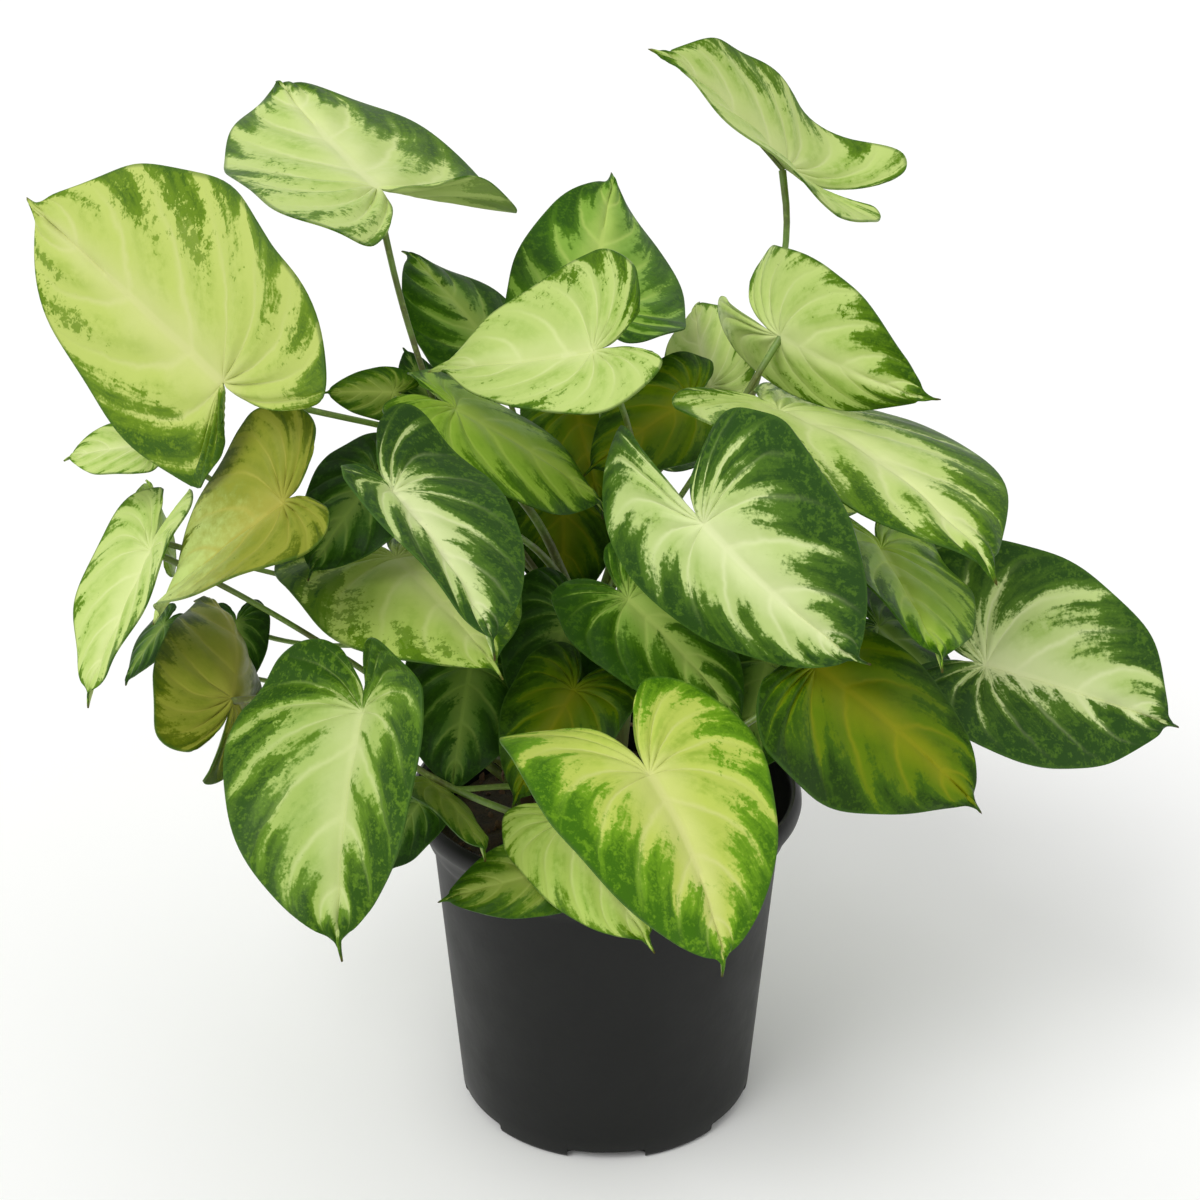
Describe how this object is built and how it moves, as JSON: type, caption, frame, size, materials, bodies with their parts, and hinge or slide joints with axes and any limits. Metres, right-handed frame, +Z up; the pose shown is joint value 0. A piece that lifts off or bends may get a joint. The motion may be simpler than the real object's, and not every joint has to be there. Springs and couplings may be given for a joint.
{
  "type": "arrowhead plant in a nursery pot",
  "caption": "Bushy arrowhead plant with variegated arrow-shaped leaves on long arched stalks, rising from short vine stems in a tapered black nursery pot.",
  "frame": {"origin": "middle of the pot's underside, on the surface the pot stands on", "axes": "+Z up out of the pot, -Y towards the front of the plant, +X to the right seen from the front"},
  "size_m": [0.4189, 0.3551, 0.4093],
  "materials": {
    "pot_plastic": "satin",
    "potting_mix": "matte",
    "vine_stem": "satin",
    "leaf_pale": "satin",
    "leaf_mixed": "satin",
    "leaf_dark": "satin",
    "leaf_olive": "satin"
  },
  "bodies": {
    "root": {"pot": "pot_plastic", "soil": "potting_mix", "stem_middle": "vine_stem", "stem_left": "vine_stem", "stem_right": "vine_stem", "stem_front": "vine_stem", "stem_back": "vine_stem", "leaf_far_upper_left": "leaf_pale", "leaf_top_left": "leaf_mixed", "leaf_top_right": "leaf_pale", "leaf_upper_right": "leaf_mixed", "leaf_right_long": "leaf_pale", "leaf_left_white": "leaf_dark", "leaf_middle_pale": "leaf_pale", "leaf_middle_large": "leaf_mixed", "leaf_top_middle": "leaf_dark", "leaf_top_dark": "leaf_dark", "leaf_right_mint": "leaf_pale", "leaf_inner_green": "leaf_mixed", "leaf_small_far_left": "leaf_pale", "leaf_small_upright_left": "leaf_pale", "leaf_hanging_left": "leaf_pale", "leaf_olive_left": "leaf_olive", "leaf_mottled_left": "leaf_mixed", "leaf_olive_low_left": "leaf_olive", "leaf_front_left": "leaf_mixed", "leaf_front_large": "leaf_pale", "leaf_olive_right": "leaf_olive", "leaf_far_right": "leaf_mixed", "leaf_olive_upper_right": "leaf_olive", "leaf_inner_back_left": "leaf_olive", "leaf_inner_back_right": "leaf_olive", "leaf_young_left": "leaf_mixed", "leaf_young_middle": "leaf_dark", "leaf_glossy_left": "leaf_dark", "leaf_shade_left": "leaf_dark", "leaf_rim_dark": "leaf_dark", "leaf_rim_pale_edge": "leaf_pale", "leaf_rim_small": "leaf_olive", "leaf_front_under": "leaf_pale", "leaf_dark_right": "leaf_dark", "leaf_glossy_right": "leaf_dark", "leaf_inner_striped": "leaf_mixed", "leaf_inner_dark_right": "leaf_dark", "leaf_shade_middle": "leaf_olive", "leaf_shade_back": "leaf_dark", "leaf_shade_right": "leaf_dark", "leaf_inner_core": "leaf_olive", "leaf_small_low_left": "leaf_dark", "leaf_small_shade_left": "leaf_dark", "leaf_back_left": "leaf_mixed", "leaf_back_middle": "leaf_mixed", "leaf_back_right": "leaf_pale", "leaf_back_low_left": "leaf_dark", "leaf_back_low_right": "leaf_pale"}
  },
  "joints": []
}
